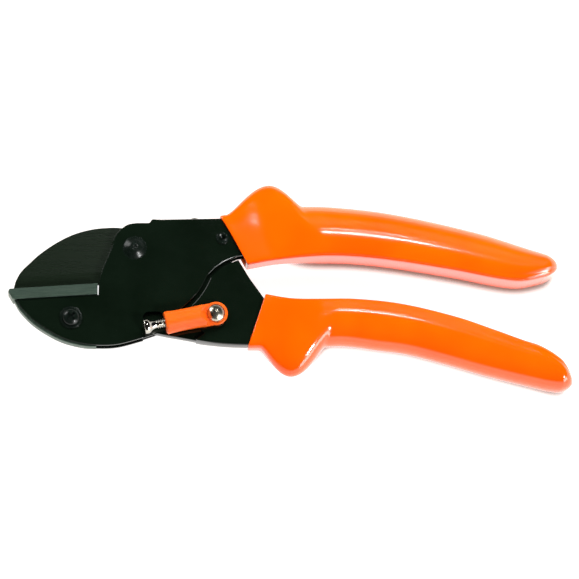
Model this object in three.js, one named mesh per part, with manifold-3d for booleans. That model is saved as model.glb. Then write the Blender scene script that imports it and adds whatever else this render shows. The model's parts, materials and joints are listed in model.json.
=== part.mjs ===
// Anvil pruning shears, closed and latched, lying on one side. Millimetres, +Z up.
// The shears are drawn about their main pivot, with +X towards the handle ends, +Y towards the blade's
// back and +Z out of the front plate, and the whole group is then set on its resting surface.
import * as THREE from 'three';
import { mergeVertices } from 'three/addons/utils/BufferGeometryUtils.js';
import Module from 'manifold-3d';

const { clamp, degToRad, lerp, smoothstep, smootherstep } = THREE.MathUtils;

const wasm = await Module();
wasm.setup();

// Where the main pivot stands in the part's own frame
const PIVOT = { x: -56.7, y: 14.57, z: 8.7 };

// Layers, from the middle plane outwards: each is mirrored to the rear
const BLADE_HALF = 1.0;
const INNER_IN = 1.1;
const INNER_OUT = 2.1;
const SHIM_IN = 2.15;
const SHIM_OUT = 2.35;
const PLATE_IN = 2.4;
const PLATE_OUT = 3.5;
const FACE_GAP = 0.05;
const WEB = 1.1;

// Pivot
const BOLT_R = 3.0;
const BUSH_IN_R = 3.05;
const BUSH_OUT_R = 4.0;
const EYE_HOLE_R = 4.1;
const PLATE_HOLE_R = 3.1;
const EYE_R = 7.0;

// Anvil and its screw
const ANVIL_HALF = 4.2;
const TONGUE_HALF = 2.3;
const TONGUE_END_X = -14;
const ANVIL_SCREW = { x: -23.1, y: -25.9 };
const ANVIL_SCREW_R = 2.0;
const ANVIL_SCREW_HOLE_R = 2.15;

// Spacer rivet, return spring and the blade's rivets
const SPACER = { x: 32, y: 3.65 };
const SPRING_X = 22;
const SPRING_TOP_Y = 10.0;
const SPRING_CUP_Y = 0.1;
const SPRING_TURNS = 6;
const SPRING_WIRE_R = 0.45;
const SPRING_COIL_R = 1.65;
const BLADE_RIVETS = [
  { name: 'blade_rivet_upper', x: 11, y: -7.5 },
  { name: 'blade_rivet_lower', x: 17, y: -15.5 },
];

// Latch
const LATCH = { x: 29.3, y: -24.8 };
const LATCH_ANGLE = Math.PI * (1 + 11.3 / 180);
const LATCH_BASE_Z = 3.75;
const LATCH_TAB_Z = 4.15;
const LATCH_TAB_TOP_Z = 5.6;
const LATCH_TOP_Z = 9.6;
const LATCH_HALF_WIDTH = 4.15;
const LATCH_BODY_START = 3.9;
const LATCH_BODY_END = 18.9;
const LATCH_SCREW_Z = 6.5;
const LATCH_RIVET_R = 1.6;

// Joggle of the lower handle: outside this radius, and this side of the angle, its plates step outwards
const JOGGLE_R = 29.5;
const JOGGLE_STOP_DEG = -51.5;
const JOGGLE_TOE_R = 40.5;
const BODY_ARC_R = 28.3;
const STOP_X = 3;
// Outside this radius the anvil's tongue reaches further back, clear of the opening lower handle
const TONGUE_CLEAR_R = 34.2;
const TONGUE_CLEAR_DEG = -119.5;

const CURVE_SEGMENTS = 3;
const ROUND_SEGMENTS = 24;

const MATERIALS = {
  plate: { color: 0x0d180e, roughness: 0.18, metalness: 0.3 },
  blade: { color: 0x1c241a, roughness: 0.35, metalness: 0.3 },
  anvil: { color: 0x4b5f52, roughness: 0.4, metalness: 0.8 },
  grip: { color: 0xff7300, roughness: 0.15, metalness: 0 },
  latch: { color: 0xfa781e, roughness: 0.35, metalness: 0 },
  black_screw: { color: 0x101512, roughness: 0.25, metalness: 0.5 },
  chrome: { color: 0xd8d8d4, roughness: 0.08, metalness: 1 },
  steel: { color: 0x9a9c98, roughness: 0.3, metalness: 1 },
};

const shears = new THREE.Group();
shears.position.set(PIVOT.x, PIVOT.y, PIVOT.z);

// ---------- solids ----------

// Turns a closed geometry into a manifold solid, whichever way its faces were wound.
function solid(geometry) {
  const bare = geometry.clone();
  bare.deleteAttribute('normal');
  bare.deleteAttribute('uv');
  const merged = mergeVertices(bare, 1e-4);
  const corners = [];
  for (let i = 0; i < merged.index.count; i += 3) {
    const [a, b, c] = [0, 1, 2].map((k) => merged.index.getX(i + k));
    if (a !== b && b !== c && c !== a) corners.push(a, b, c);
  }
  const build = (triangles) => new wasm.Manifold(new wasm.Mesh({
    numProp: 3,
    vertProperties: new Float32Array(merged.attributes.position.array),
    triVerts: new Uint32Array(triangles),
  }));
  const made = build(corners);
  return made.volume() > 0 ? made : build(corners.reverse());
}

function geometryOf(made) {
  const mesh = made.getMesh();
  const geometry = new THREE.BufferGeometry();
  geometry.setAttribute('position', new THREE.BufferAttribute(mesh.vertProperties, 3));
  geometry.setIndex(new THREE.BufferAttribute(mesh.triVerts, 1));
  geometry.computeVertexNormals();
  return geometry;
}

const join = (first, ...rest) => rest.reduce((sum, piece) => sum.add(piece), first);
const cut = (first, ...rest) => rest.reduce((left, piece) => left.subtract(piece), first);

function addPiece(name, look, made, parent = shears) {
  const material = new THREE.MeshStandardMaterial(MATERIALS[look]);
  const mesh = new THREE.Mesh(geometryOf(made), material);
  mesh.name = name;
  parent.add(mesh);
  return mesh;
}

// A flat outline given its thickness, from one height to another.
function slab(shape, low, high) {
  const options = { depth: high - low, bevelEnabled: false, curveSegments: CURVE_SEGMENTS };
  return solid(new THREE.ExtrudeGeometry(shape, options).translate(0, 0, low));
}

// A turned piece with its axis on Z: the profile is a list of [radius, height] from axis to axis.
function turned(profile, segments = ROUND_SEGMENTS) {
  const points = profile.map(([radius, height]) => new THREE.Vector2(radius, height));
  return solid(new THREE.LatheGeometry(points, segments).rotateX(Math.PI / 2));
}

const rod = (radius, low, high, segments) =>
  turned([[0, low], [radius, low], [radius, high], [0, high]], segments);

function ring(inner, outer, low, high) {
  return cut(rod(outer, low, high), rod(inner, low - 1, high + 1));
}

// Profile points of a dome that starts at its rim and ends on the axis.
function domeProfile(radius, low, height, steps = 4) {
  return Array.from({ length: steps + 1 }, (_, i) => {
    const angle = (Math.PI / 2) * (i / steps);
    return [i === steps ? 0 : radius * Math.cos(angle), low + height * Math.sin(angle)];
  });
}

function hexNut(acrossFlats, bore, low, high) {
  const outer = rod(acrossFlats / Math.sqrt(3), low, high, 6);
  return cut(outer, rod(bore, low - 1, high + 1));
}

function box(x0, x1, y0, y1, z0, z1) {
  const geometry = new THREE.BoxGeometry(x1 - x0, y1 - y0, z1 - z0);
  return solid(geometry.translate((x0 + x1) / 2, (y0 + y1) / 2, (z0 + z1) / 2));
}

const vectors = (points) => points.map(([x, y]) => new THREE.Vector2(x, y));
const polar = (radius, degrees) => [
  radius * Math.cos(degToRad(degrees)),
  radius * Math.sin(degToRad(degrees)),
];

// ---------- handle lofts ----------

// A smooth line y(x) through a few points.
function smoothLine(points) {
  const last = points.length - 1;
  const slope = (i) => {
    const [a, b] = [points[Math.max(i - 1, 0)], points[Math.min(i + 1, last)]];
    return (b[1] - a[1]) / (b[0] - a[0]);
  };
  return (x) => {
    const i = Math.max(0, Math.min(last - 1, points.findIndex((p) => p[0] > x) - 1));
    const k = points[last][0] <= x ? last - 1 : i;
    const [x0, y0] = points[k];
    const [x1, y1] = points[k + 1];
    const t = (x - x0) / (x1 - x0);
    const [m0, m1] = [slope(k) * (x1 - x0), slope(k + 1) * (x1 - x0)];
    const cubic = (2 * t ** 3 - 3 * t ** 2 + 1) * y0 + (t ** 3 - 2 * t ** 2 + t) * m0;
    return cubic + (-2 * t ** 3 + 3 * t ** 2) * y1 + (t ** 3 - t ** 2) * m1;
  };
}

// Each handle: its flat inner line, its rounded outer line, and the finger guard that stands on it.
// frontInner and frontOuter are the ends of its slanted front edge.
const UPPER = {
  frontInner: 40.7,
  frontOuter: 31.2,
  tail: 155.2,
  inner: smoothLine([[40.7, -6.5], [52, -4.5], [65, -3.6], [80, -3.8], [97, -5.7], [118, -9.2],
    [133, -12.2], [141, -13.0], [148, -11.8], [155.2, -9.5]]),
  outer: smoothLine([[31.2, 12.5], [45, 14.7], [60, 16.2], [75, 15.8], [96, 13.1], [126, 6.2],
    [145, 0.0], [155.2, -3.4]]),
  guard: { at: 48.8, half: 11.3, height: 8.8 },
  innerWall: [3.5, 2.3],
};
const LOWER = {
  frontInner: 47.3,
  frontOuter: 40.9,
  tail: 159.2,
  inner: smoothLine([[47.3, -17.2], [57, -19.0], [66, -19.5], [80, -19.6], [97, -21.5], [117, -26.4],
    [131, -31.3], [141, -35.0], [147, -37.0], [153, -40.6], [159.2, -46.2]]),
  outer: smoothLine([[40.9, -37.1], [60, -36.9], [75, -35.9], [89, -37.6], [99, -39.0], [113, -42.7],
    [127, -46.8], [145, -51.4], [152, -52.9], [159.2, -53.2]]),
  guard: { at: 56.3, half: 11.8, height: -9.7 },
  innerWall: [1.3, 2.3],
};
const OUTER_WALL = [1.1, 2.3];
const STEEL_HALF = [3.5, 6.4];
const GRIP_HALF = [4.9, 8.7];
const WIDEN = [41, 64];
const TAIL_ROUND = 5;
const STEEL_CLEARANCE = 0.3;

const widen = ([front, hand], x) => lerp(front, hand, smoothstep(x, ...WIDEN));

function guardRise({ at, half, height }, x) {
  const u = Math.abs(x - at) / half;
  return u < 1 ? height * (1 - u * u) ** 1.4 : 0;
}

// A rounded section through a handle between a point on its inner line and one on its outer line.
function section(inner, outer, half, innerRadius, outerRadius, outerSteps) {
  const depth = inner.distanceTo(outer);
  const along = outer.clone().sub(inner).normalize();
  const corners = [
    [depth - outerRadius, half - outerRadius, outerRadius, 0, outerSteps],
    [innerRadius, half - innerRadius, innerRadius, 90, 2],
    [innerRadius, innerRadius - half, innerRadius, 180, 2],
    [depth - outerRadius, outerRadius - half, outerRadius, 270, outerSteps],
  ];
  return corners.flatMap(([a, z, radius, start, steps]) =>
    Array.from({ length: steps + 1 }, (_, i) => {
      const [da, dz] = polar(radius, start + (90 * i) / steps);
      const point = inner.clone().addScaledVector(along, a + da);
      return new THREE.Vector3(point.x, point.y, z + dz);
    }));
}

// Skins a closed solid over sections of equal point count, with a flat cap at each end.
function skin(sections) {
  const n = sections[0].length;
  const geometry = new THREE.BufferGeometry().setFromPoints(sections.flat());
  const faces = [];
  for (let i = 0; i < sections.length - 1; i++) {
    for (let j = 0; j < n; j++) {
      const [a, b] = [i * n + j, i * n + ((j + 1) % n)];
      faces.push(a, b, b + n, a, b + n, a + n);
    }
  }
  const last = (sections.length - 1) * n;
  for (let j = 1; j < n - 1; j++) {
    faces.push(0, j + 1, j);
    faces.push(last, last + j, last + j + 1);
  }
  geometry.setIndex(faces);
  return solid(geometry);
}

// Fractions of the way from a handle's front edge to its tail, closer together over the finger guard
// and, on the grip itself, at the rounded tail.
function stations(from, to, guard) {
  const even = [0.06, 0.12, 0.18, 0.25, 0.35, 0.48, 0.6, 0.72, 0.83, 0.92];
  const guardSpots = Array.from({ length: 11 }, (_, i) => 0.02 + i * 0.02);
  const tailSpots = [0.945, 0.96, 0.972, 0.982, 0.99, 0.996];
  const spots = guard ? [...guardSpots, ...even.filter((t) => t > 0.23), ...tailSpots] : even;
  return [from, ...spots.filter((t) => t > from && t < to), to];
}

// One skin of a handle. Walls are measured inwards from the grip's own surface.
function handleSkin(handle, { outerWall, innerWall, half, round, from = 0, to = 1, guard = false }) {
  const sections = stations(from, to, guard).map((t) => {
    const xi = lerp(handle.frontInner, handle.tail, t);
    const xo = lerp(handle.frontOuter, handle.tail, t);
    const side = Math.sign(handle.outer(60) - handle.inner(60));
    const inner = new THREE.Vector2(xi, handle.inner(xi) + side * innerWall(xi));
    const rise = guard ? guardRise(handle.guard, xo) : 0;
    const outer = new THREE.Vector2(xo, handle.outer(xo) + rise - side * outerWall(xo));
    const past = guard ? Math.max(0, (xo - handle.tail + TAIL_ROUND) / TAIL_ROUND) : 0;
    const shrink = Math.sqrt(Math.max(1 - past * past, 0.012));
    const middle = inner.clone().lerp(outer, 0.5);
    inner.sub(middle).multiplyScalar(shrink).add(middle);
    outer.sub(middle).multiplyScalar(shrink).add(middle);
    const wide = half(xo) * shrink;
    const [tight, soft] = round(xo, wide);
    return section(inner, outer, wide, tight * shrink, soft, guard ? 5 : 3);
  });
  return skin(sections);
}

function gripSolid(handle) {
  const outside = handleSkin(handle, {
    outerWall: () => 0,
    innerWall: () => 0,
    half: (x) => widen(GRIP_HALF, x),
    round: (x, wide) => [widen([1.2, 2.4], x), 0.93 * wide],
    guard: true,
  });
  return cut(outside, handleSteel(handle, STEEL_CLEARANCE, -0.03, 0.935));
}

// The steel channel's outer surface inside the grip, grown by a clearance for the grip's cavity.
function handleSteel(handle, grow, from, to) {
  return handleSkin(handle, {
    outerWall: (x) => widen(OUTER_WALL, x) - grow,
    innerWall: (x) => widen(handle.innerWall, x) - grow,
    half: (x) => widen(STEEL_HALF, x) + grow,
    round: (x, wide) => [0.3, widen([0.3, 0.6], x) * wide],
    from,
    to,
  });
}

// The space inside the channel, open along its inner side.
function handleHollow(handle, half, from, to) {
  return handleSkin(handle, {
    outerWall: (x) => widen(OUTER_WALL, x) + WEB,
    innerWall: () => -8,
    half: (x) => widen(half, x),
    round: (x, wide) => [0.3, widen([0.1, 0.5], x) * wide],
    from,
    to,
  });
}

// ---------- anvil side ----------

// The body plate's outline. Both plates end at the edge that stops the joggle when the shears are fully
// open, and only the front plate has the notch for the latch screw's head.
function bodyPlateShape(notched) {
  const shape = new THREE.Shape();
  shape.moveTo(-42.8, -19.25);
  shape.splineThru(vectors([[-40.7, -22.6], [-36.2, -27.1], [-30.5, -31], [-25, -33.8], [-18.6, -35.5],
    [-12.2, -36.1], [-5.5, -35.6], [STOP_X, -33.3]]));
  if (notched) {
    shape.lineTo(STOP_X, -25.7);
    shape.absarc(STOP_X + 2, -25.7, 2, Math.PI, Math.PI / 2, true);
    shape.absarc(8.3, -25.7, 2, Math.PI / 2, 0, true);
    shape.lineTo(10.5, -26.2);
  }
  const from = notched ? degToRad(-68) : -Math.acos(STOP_X / BODY_ARC_R);
  shape.absarc(0, 0, BODY_ARC_R, from, degToRad(-22), false);
  shape.splineThru(vectors([[29.2, -7.6], [32.4, -5.4], [37.7, -2.9]]));
  shape.lineTo(41, -2.5);
  shape.lineTo(45, -1.4);
  shape.lineTo(45, 11.8);
  shape.lineTo(31.3, 11.3);
  shape.lineTo(6.8, 10.8);
  shape.lineTo(5.1, 9.4);
  shape.lineTo(1, 9.4);
  shape.splineThru(vectors([[-2.4, 8.8], [-5.2, 6.8], [-7.2, 4.2], [-7.9, 1.2]]));
  shape.splineThru(vectors([[-9.4, -2.5], [-11.7, -8], [-12.9, -13], [-13.1, -17.45]]));
  shape.lineTo(-42.8, -19.25);
  return shape;
}

function bodyFrame() {
  const front = slab(bodyPlateShape(true), 0, PLATE_OUT);
  const rear = slab(bodyPlateShape(false), -PLATE_OUT, 0);
  const steel = handleSteel(UPPER, 0, 0, 0.93);
  const inside = new THREE.Shape(vectors([[-60, -50], [60, -50], [60, 12.4 - WEB], [46, 11.8 - WEB],
    [6.8 + WEB, 10.8 - WEB], [6.8, 30], [-60, 30]]));
  const headHollow = slab(inside, -PLATE_IN, PLATE_IN).subtract(box(46, 70, -60, 40, -9, 9));
  const handleInside = handleHollow(UPPER, [PLATE_IN, 5.3], 0.03, 0.96);
  const blank = cut(join(front, rear, steel), headHollow, handleInside);
  const pivotHole = rod(PLATE_HOLE_R, -20, 20);
  const screwHole = rod(ANVIL_SCREW_HOLE_R, -20, 20).translate(ANVIL_SCREW.x, ANVIL_SCREW.y, 0);
  const spacerHole = rod(1.75, -20, 20).translate(SPACER.x, SPACER.y, 0);
  const postHole = rod(0.95, 0, 30).rotate(-90, 0, 0).translate(SPRING_X, 0, 0);
  return cut(blank, pivotHole, screwHole, spacerHole, postHole);
}

function anvil() {
  const bar = new THREE.Shape(vectors([[-45.3, -15.35], [-45.8, -16.4], [-44.1, -19.15], [-13.5, -17.3],
    [-13.5, -13.3]]));
  const tongue = new THREE.Shape();
  tongue.moveTo(TONGUE_END_X, -15);
  tongue.lineTo(-40, -16.5);
  tongue.lineTo(-42.6, -19.4);
  tongue.splineThru(vectors([[-40.5, -22.6], [-36.1, -27], [-30.4, -30.9], [-24.9, -33.6], [-18.5, -35.3],
    [TONGUE_END_X, -35.8]]));
  const corner = -Math.acos(TONGUE_END_X / TONGUE_CLEAR_R);
  tongue.absarc(0, 0, TONGUE_CLEAR_R, corner, degToRad(TONGUE_CLEAR_DEG), true);
  const blank = join(slab(bar, -ANVIL_HALF, ANVIL_HALF), slab(tongue, -TONGUE_HALF, TONGUE_HALF));
  return cut(blank, rod(ANVIL_SCREW_HOLE_R, -20, 20).translate(ANVIL_SCREW.x, ANVIL_SCREW.y, 0));
}

function anvilScrew() {
  const head = PLATE_OUT + 0.6;
  const shank = [[0, -6.3], [ANVIL_SCREW_R, -6.3], [ANVIL_SCREW_R, head]];
  const blank = turned([...shank, ...domeProfile(3.15, head, 1.9)]);
  const slots = [0, 90].map((turn) => box(-1.7, 1.7, -0.35, 0.35, head + 0.9, 20).rotate(0, 0, turn + 20));
  return cut(blank, ...slots);
}

function pivotBolt() {
  const head = PLATE_OUT + FACE_GAP;
  const dome = domeProfile(3.7, head, 2.4, 6).filter(([radius]) => radius > 1);
  return turned([[0, -PIVOT.z], [BOLT_R - 0.5, -PIVOT.z], [BOLT_R, -PIVOT.z + 0.5],
    [BOLT_R, head], ...dome, [0.8, head + 2.2], [0.5, head + 1.8], [0, head + 1.7]]);
}

function spacerRivet() {
  const [inner, end] = [1.1, PLATE_OUT + FACE_GAP + 0.45];
  const barrel = join(rod(1.7, -end, end), rod(2.2, -PLATE_IN + FACE_GAP, PLATE_IN - FACE_GAP));
  const flanges = [-1, 1].map((side) => {
    const [a, b] = [side * (PLATE_OUT + FACE_GAP), side * end];
    return rod(2.3, Math.min(a, b), Math.max(a, b));
  });
  return cut(join(barrel, ...flanges), rod(inner, -20, 20));
}

class Coil extends THREE.Curve {
  getPoint(t, target = new THREE.Vector3()) {
    const turns = SPRING_TURNS + 1.5;
    const angle = 2 * Math.PI * turns * t;
    const low = SPRING_CUP_Y + SPRING_WIRE_R + 0.06;
    const high = SPRING_TOP_Y - SPRING_WIRE_R - 0.06;
    const rise = smootherstep(t, -0.12, 1.12);
    const clamped = clamp((rise - 0.01) / 0.98, 0, 1);
    const y = lerp(low, high, clamped);
    return target.set(SPRING_COIL_R * Math.cos(angle), y, SPRING_COIL_R * Math.sin(angle));
  }
}

function returnSpring() {
  const wire = new THREE.Shape().absarc(0, 0, SPRING_WIRE_R, 0, 2 * Math.PI);
  const options = { extrudePath: new Coil(), steps: 84, curveSegments: 3, bevelEnabled: false };
  return solid(new THREE.ExtrudeGeometry(wire, options).translate(SPRING_X, 0, 0));
}

// A stud that stands under the top web, riveted through it.
function springPost() {
  const web = SPRING_TOP_Y + 0.13;
  const rivet = web + WEB + 2 * FACE_GAP;
  const stud = turned([[0, web - 3.1], [0.7, web - 3.1], [0.85, web - 2.6], [0.85, rivet], [1.6, rivet],
    [1.3, rivet + 0.5], [0, rivet + 0.6]], 20);
  return stud.rotate(-90, 0, 0).translate(SPRING_X, 0, 0);
}

function addAnvilSide() {
  addPiece('body_frame', 'plate', bodyFrame());
  addPiece('anvil', 'anvil', anvil());
  const screw = [
    ['anvil_screw', 'black_screw', anvilScrew()],
    ['anvil_washer', 'black_screw', ring(ANVIL_SCREW_HOLE_R, 4.1, PLATE_OUT + FACE_GAP, PLATE_OUT + 0.55)],
    ['anvil_nut', 'black_screw', hexNut(7, ANVIL_SCREW_HOLE_R, -5.9, -PLATE_OUT - FACE_GAP)],
  ];
  for (const [name, look, made] of screw) {
    addPiece(name, look, made).position.set(ANVIL_SCREW.x, ANVIL_SCREW.y, 0);
  }
  addPiece('pivot_bolt', 'black_screw', pivotBolt());
  addPiece('pivot_bush', 'steel', ring(BUSH_IN_R, BUSH_OUT_R, -PLATE_IN + FACE_GAP, PLATE_IN - FACE_GAP));
  addPiece('pivot_shim_front', 'steel', ring(EYE_HOLE_R, EYE_R - 0.4, SHIM_IN, SHIM_OUT));
  addPiece('pivot_shim_rear', 'steel', ring(EYE_HOLE_R, EYE_R - 0.4, -SHIM_OUT, -SHIM_IN));
  addPiece('pivot_washer', 'black_screw', ring(PLATE_HOLE_R, 5.6, -4.3, -PLATE_OUT - FACE_GAP));
  addPiece('pivot_nut', 'black_screw', hexNut(10, PLATE_HOLE_R, -8.3, -4.35));
  addPiece('spacer_rivet', 'black_screw', spacerRivet()).position.set(SPACER.x, SPACER.y, 0);
  addPiece('spring_post', 'steel', springPost());
  addPiece('return_spring', 'steel', returnSpring());
  addPiece('upper_grip', 'grip', gripSolid(UPPER));
}

// ---------- blade side ----------

function blade() {
  const shape = new THREE.Shape();
  shape.moveTo(-43.2, -15.05);
  shape.lineTo(-8, -12.75);
  shape.splineThru(vectors([[-3, -12.2], [1.5, -12.6], [6, -14.4], [11, -17.8], [15.5, -20.2]]));
  shape.splineThru(vectors([[19, -19.6], [20.8, -16.8], [19.6, -12.6], [15, -7.6], [10.5, -2.8],
    [7.4, 0.8]]));
  shape.splineThru(vectors([[6.4, 3.9], [3.6, 6.6], [-0.5, 7.7], [-4.4, 8.05]]));
  shape.splineThru(vectors([[-8.5, 8.2], [-15, 7.7], [-21.8, 6.4], [-28.2, 3.9], [-34.8, -0.2], [-39.4, -4.8],
    [-41.3, -9.2], [-42.9, -13.2]]));
  shape.lineTo(-43.2, -15.05);
  const rivetHoles = BLADE_RIVETS.map(({ x, y }) => rod(1.6, -5, 5).translate(x, y, 0));
  return cut(slab(shape, -BLADE_HALF, BLADE_HALF), rod(EYE_HOLE_R, -5, 5), ...rivetHoles);
}

// The lower handle's inner plate, from the eye round the pivot to where the grip begins.
function innerPlateShape() {
  const shape = new THREE.Shape();
  shape.absarc(0, 0, EYE_R, degToRad(50), degToRad(245), false);
  shape.splineThru(vectors([[-1.8, -10.5], [0, -17], [1.6, -25], [2.4, -33.1]]));
  shape.lineTo(STOP_X, -33.2);
  shape.lineTo(8, -31.5);
  shape.splineThru(vectors([[12.5, -32.4], [17.5, -33.3], [25, -34.7], [32, -35.6], [41, -36]]));
  shape.lineTo(47, -35.8);
  shape.lineTo(50, -19.9);
  shape.lineTo(47.1, -19);
  shape.lineTo(46.2, -17.7);
  shape.splineThru(vectors([[44.2, -14.8], [41.4, -10.7], [37.7, -5.75]]));
  shape.splineThru(vectors([[34, -4.3], [29.5, -2.2], [25.5, SPRING_CUP_Y - 1.1]]));
  shape.lineTo(17, SPRING_CUP_Y - 1.1);
  shape.splineThru(vectors([[13, 0.2], [8.5, 2.6], polar(EYE_R, 50)]));
  return shape;
}

// Where the lower handle's plates step outwards, level with the body's plates.
function joggleShape(inset) {
  const shape = new THREE.Shape();
  const radius = JOGGLE_R + inset;
  const stop = JOGGLE_STOP_DEG + inset * 1.8;
  shape.absarc(0, 0, radius, degToRad(-26), degToRad(stop), true);
  shape.lineTo(...polar(JOGGLE_TOE_R + inset, stop));
  const toe = -60 + inset * 1.6;
  shape.absarc(0, 0, JOGGLE_TOE_R + inset, degToRad(stop), degToRad(toe), true);
  shape.lineTo(24, -60);
  shape.lineTo(60, -60);
  shape.lineTo(60, 0);
  shape.lineTo(38 + inset, -5.6 + inset * 6);
  shape.splineThru(vectors([[36.6, -6.3 - inset], [32, -8.6 - inset], polar(radius, -26)]));
  return shape;
}

// The line of the lower handle's bottom web, set in from its outside.
function hollowShape() {
  const bottom = [[7.2, -29.6], [12.5, -32.4], [17.5, -33.3], [25, -34.7], [32, -35.6], [41, -36],
    [52, -35.8]];
  const raised = bottom.map(([x, y]) => [x, y + WEB]);
  return new THREE.Shape(vectors([[-20, 20], [-20, -50], [7.2, -50], ...raised, [52, 20]]));
}

function lowerHandle() {
  const plate = innerPlateShape();
  const inner = slab(plate, -INNER_OUT, INNER_OUT);
  const stepped = slab(plate, -PLATE_OUT, PLATE_OUT).intersect(slab(joggleShape(0), -PLATE_OUT, PLATE_OUT));
  const steel = handleSteel(LOWER, 0, 0, 0.93);
  const innerHollow = slab(hollowShape(), -INNER_IN, INNER_IN);
  const stepHollow = slab(hollowShape(), -PLATE_IN, PLATE_IN)
    .intersect(slab(joggleShape(1), -PLATE_IN, PLATE_IN));
  const handleInside = handleHollow(LOWER, [PLATE_IN, 5.3], 0.03, 0.96);
  const blank = cut(join(inner, stepped, steel), innerHollow, stepHollow, handleInside);
  const rivetHoles = BLADE_RIVETS.map(({ x, y }) => rod(1.6, -20, 20).translate(x, y, 0));
  const latchHole = rod(LATCH_RIVET_R + 0.1, 0, 20).translate(LATCH.x, LATCH.y, 0);
  return cut(blank, rod(EYE_HOLE_R, -20, 20), latchHole, ...rivetHoles);
}

function springCup() {
  const top = SPRING_CUP_Y;
  const cup = turned([[0, top - 2.6], [0.95, top - 2.6], [0.95, top - 1.05], [2.1, top - 1.05],
    [2.1, top - 0.05], [0.9, top - 0.05], [0.9, top + 1.3], [0.6, top + 1.8], [0, top + 1.8]], 24);
  return cup.rotate(-90, 0, 0).translate(SPRING_X, 0, 0);
}

// The domed rivet that the latch turns on, closed behind the lower handle's front plate.
function latchRivet() {
  const dome = LATCH_TAB_TOP_Z + FACE_GAP;
  return turned([[0, 1.7], [2.3, 1.7], [2.5, PLATE_IN - FACE_GAP], [LATCH_RIVET_R, PLATE_IN - FACE_GAP],
    [LATCH_RIVET_R, dome], ...domeProfile(3.1, dome, 2.9, 6)]);
}

function addBladeSide() {
  addPiece('blade', 'blade', blade());
  addPiece('lower_handle', 'plate', lowerHandle());
  for (const { name, x, y } of BLADE_RIVETS) {
    addPiece(name, 'steel', rod(1.5, -INNER_OUT, INNER_OUT)).position.set(x, y, 0);
  }
  addPiece('spring_cup', 'steel', springCup());
  addPiece('latch_rivet', 'chrome', latchRivet()).position.set(LATCH.x, LATCH.y, 0);
  const washer = ring(LATCH_RIVET_R + 0.1, 4.2, PLATE_OUT + FACE_GAP, LATCH_TAB_Z - FACE_GAP);
  addPiece('latch_washer', 'steel', washer).position.set(LATCH.x, LATCH.y, 0);
  addPiece('lower_grip', 'grip', gripSolid(LOWER));
}

// ---------- latch, drawn along its own +X from the rivet ----------

// A half-round section of the lever at one place along it.
function leverSection(x, halfWidth, low, high) {
  const foot = 1.6;
  const across = Array.from({ length: 13 }, (_, i) => {
    const [a, z] = polar(1, (180 * i) / 12);
    return new THREE.Vector3(x, halfWidth * a, low + foot + (high - low - foot) * z);
  });
  return [new THREE.Vector3(x, halfWidth - 0.2, low), ...across, new THREE.Vector3(x, 0.2 - halfWidth, low)];
}

function latchBody() {
  const span = LATCH_BODY_END - LATCH_BODY_START;
  const lever = skin([0, 0.08, 0.35, 0.7, 0.95, 1].map((t) => {
    const waist = 0.25 * Math.sin(Math.PI * t);
    const end = t === 0 || t === 1 ? 0.4 : 0;
    const halfWidth = LATCH_HALF_WIDTH - waist - end;
    return leverSection(LATCH_BODY_START + span * t, halfWidth, LATCH_BASE_Z, LATCH_TOP_Z - end);
  }));
  const tab = rod(4.3, LATCH_TAB_Z, LATCH_TAB_TOP_Z);
  const [width, end] = [LATCH_HALF_WIDTH, LATCH_BODY_START + 1];
  const bridge = box(0, end, -width, width, LATCH_TAB_Z, LATCH_TAB_TOP_Z);
  const washerSpace = rod(4.5, 0, LATCH_TAB_Z);
  const domeSpace = rod(3.5, LATCH_TAB_TOP_Z, 20);
  const rivetHole = rod(LATCH_RIVET_R + 0.3, 0, 20);
  const insertSpace = rod(2.35, 0, 20).rotate(0, 90, 0).translate(11, 0, LATCH_SCREW_Z);
  const screwSpace = rod(2.0, 0, 20).rotate(0, 90, 0).translate(7.5, 0, LATCH_SCREW_Z);
  return cut(join(lever, tab, bridge), washerSpace, domeSpace, rivetHole, insertSpace, screwSpace);
}

function latchInsert() {
  return ring(1.75, 2.3, 11.1, LATCH_BODY_END - 0.1).rotate(0, 90, 0).translate(0, 0, LATCH_SCREW_Z);
}

// Chrome screw with a flared head, its thread drawn as fine ridges.
function latchScrew() {
  const [root, crest, pitch] = [1.35, 1.65, 1.55];
  const thread = Array.from({ length: 8 }, (_, i) => [[root, 9 + i * pitch], [crest, 9 + (i + 0.5) * pitch]]);
  const head = [[1.45, 22.3], [1.7, 23.3], [2.1, 24.3], [2.7, 25.1], [2.7, 26.2], [2.3, 26.6], [0, 26.8]];
  const profile = [[0, 9], ...thread.flat(), ...head];
  return turned(profile, 16).rotate(0, 90, 0).translate(0, 0, LATCH_SCREW_Z);
}

function addLatch() {
  const latch = new THREE.Group();
  latch.position.set(LATCH.x, LATCH.y, 0);
  latch.rotation.z = LATCH_ANGLE;
  shears.add(latch);
  addPiece('latch_body', 'latch', latchBody(), latch);
  addPiece('latch_insert', 'steel', latchInsert(), latch);
  addPiece('latch_screw', 'chrome', latchScrew(), latch);
}

addAnvilSide();
addBladeSide();
addLatch();

const part = new THREE.Group();
part.add(shears);
export default part;
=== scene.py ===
"""Pruning shears, closed and latched, on a pale table.

Shapes are drawn in millimetres about the main pivot, and finish_piece takes them to the row frame.
"""
import json
import math

import bmesh
import bpy
from mathutils import Matrix, Vector

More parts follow.
